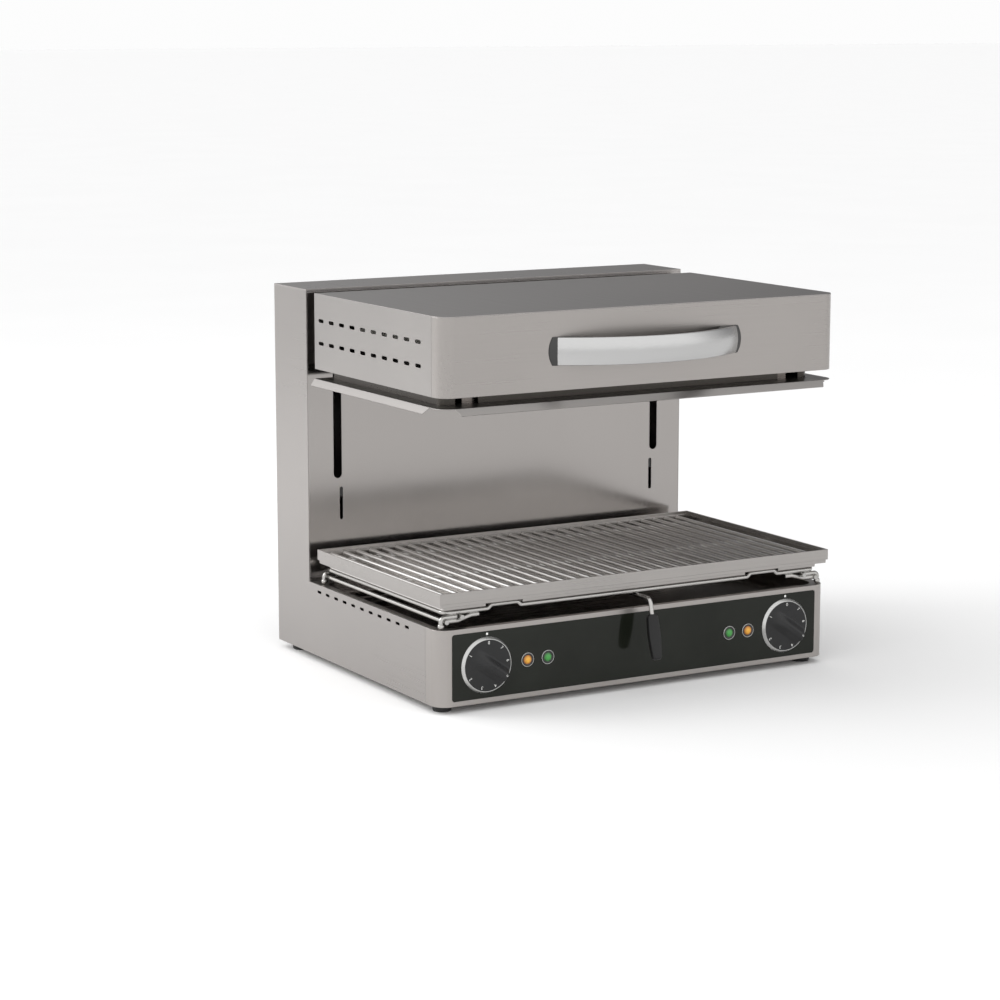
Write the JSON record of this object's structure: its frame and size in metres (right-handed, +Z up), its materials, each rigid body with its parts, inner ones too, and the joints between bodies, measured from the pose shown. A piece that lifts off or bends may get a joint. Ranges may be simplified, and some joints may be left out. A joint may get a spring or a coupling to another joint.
{
  "type": "salamander grill",
  "caption": "Countertop salamander grill: a heated hood slides on a rear column above a grill grid, drip pan and lift-off wire rack, with control knobs and lamps below.",
  "frame": {"origin": "on the floor, at the centre of the outer box's underside: midway across the width, and midway between the front of the hood's handle and the end of the cable gland", "axes": "+X to the right seen from the front, +Y from the front to the back, +Z up"},
  "size_m": [0.616, 0.534, 0.507],
  "materials": {
    "stainless": "brushed stainless sheet",
    "stainless_dark": "plain steel sheet inside the casing",
    "polished_steel": "polished round wire and rods",
    "grid_steel": "satin stainless rods",
    "satin_aluminium": "satin polished strap",
    "grey_plastic": "matt dark grey moulding",
    "black_plastic": "matt black moulding",
    "black_panel": "gloss black front plate",
    "chrome_trim": "bright chrome trim",
    "amber_lens": "amber lens",
    "green_lens": "green lens",
    "rubber": "black rubber",
    "element": "sheath of a tubular heating element",
    "insulation": "ceramic fibre mat",
    "bronze": "bearing bronze",
    "cast_iron": "plain cast weight",
    "zinc_steel": "zinc plated steel"
  },
  "bodies": {
    "base": {"side_panel_left": "stainless", "side_panel_right": "stainless", "column_top_cap": "stainless", "column_front_panel": "stainless", "rear_cover": "stainless", "rear_cover_screws": "zinc_steel", "base_front_shell": "stainless", "base_deck": "stainless", "base_bottom_plate": "stainless", "rubber_feet": "rubber", "foot_screws": "zinc_steel", "control_panel": "black_panel", "panel_backplate": "stainless_dark", "regulator_left": "black_plastic", "regulator_right": "black_plastic", "lamp_bezels": "chrome_trim", "lamp_lenses_amber": "amber_lens", "lamp_lenses_green": "green_lens", "cable_gland": "black_plastic", "terminal_block": "black_plastic", "guide_rod_left": "polished_steel", "guide_rod_right": "polished_steel", "guide_brackets": "zinc_steel", "drive_belt": "rubber", "pulley_brackets": "stainless_dark", "pulley_pins": "polished_steel", "counterweight_guides": "stainless_dark"},
    "hood": {"hood_front_shell": "stainless", "hood_cover": "stainless", "hood_floor": "stainless", "hood_skirt": "stainless", "bay_lining": "stainless_dark", "heat_deflector": "stainless", "reflector": "stainless", "insulation_mat": "insulation", "heating_element_left": "element", "heating_element_right": "element", "element_supports": "stainless_dark", "handle_strap": "satin_aluminium", "handle_cap_left": "grey_plastic", "handle_cap_right": "grey_plastic", "handle_screws": "zinc_steel", "carriage": "zinc_steel", "guide_bushes": "bronze"},
    "counterweight": {"counterweight": "cast_iron"},
    "pulley_top": {"pulley_top": "black_plastic"},
    "pulley_bottom": {"pulley_bottom": "black_plastic"},
    "knob_left": {"knob_left": "black_plastic", "knob_ring_left": "chrome_trim", "knob_shaft_left": "polished_steel"},
    "knob_right": {"knob_right": "black_plastic", "knob_ring_right": "chrome_trim", "knob_shaft_right": "polished_steel"},
    "rack": {"rack_frame": "polished_steel", "rack_feet": "polished_steel", "rack_grip": "black_plastic"},
    "pan": {"grill_pan": "stainless"},
    "grid": {"grid_rods": "grid_steel", "grid_cross_rods": "grid_steel"},
    "tray": {"crumb_tray": "stainless"}
  },
  "joints": [
    {"name": "hood_slide", "type": "slide", "parent": "base", "child": "hood", "axis": [0, 0, 1], "range_m": [-0.15, 0]},
    {"name": "counterweight_slide", "type": "slide", "parent": "base", "child": "counterweight", "axis": [0, 0, 1], "range_m": [0, 0.15]},
    {"name": "pulley_top_turn", "type": "hinge", "parent": "base", "child": "pulley_top", "pos_m": [0, 0.219, 0.472], "axis": [1, 0, 0], "range_deg": [0, 510]},
    {"name": "pulley_bottom_turn", "type": "hinge", "parent": "base", "child": "pulley_bottom", "pos_m": [0, 0.219, 0.12], "axis": [1, 0, 0], "range_deg": [0, 510]},
    {"name": "knob_left_turn", "type": "hinge", "parent": "base", "child": "knob_left", "pos_m": [-0.2305, -0.209, 0.059], "axis": [0, 1, 0], "range_deg": [0, 270]},
    {"name": "knob_right_turn", "type": "hinge", "parent": "base", "child": "knob_right", "pos_m": [0.2305, -0.209, 0.059], "axis": [0, 1, 0], "range_deg": [0, 270]},
    {"name": "rack_lift", "type": "slide", "parent": "base", "child": "rack", "axis": [0, 0, 1], "range_m": [0, 0.06]},
    {"name": "pan_lift", "type": "slide", "parent": "rack", "child": "pan", "axis": [0, 0, 1], "range_m": [0, 0.06]},
    {"name": "grid_lift", "type": "slide", "parent": "pan", "child": "grid", "axis": [0, 0, 1], "range_m": [0, 0.05]},
    {"name": "crumb_tray_lift", "type": "slide", "parent": "base", "child": "tray", "axis": [0, 0, 1], "range_m": [0, 0.003]}
  ],
  "couplings": [
    {"joint": "counterweight_slide", "follows": "hood_slide", "ratio": -1},
    {"joint": "pulley_top_turn", "follows": "hood_slide", "rad_per_m": -58.824},
    {"joint": "pulley_bottom_turn", "follows": "hood_slide", "rad_per_m": -58.824}
  ]
}
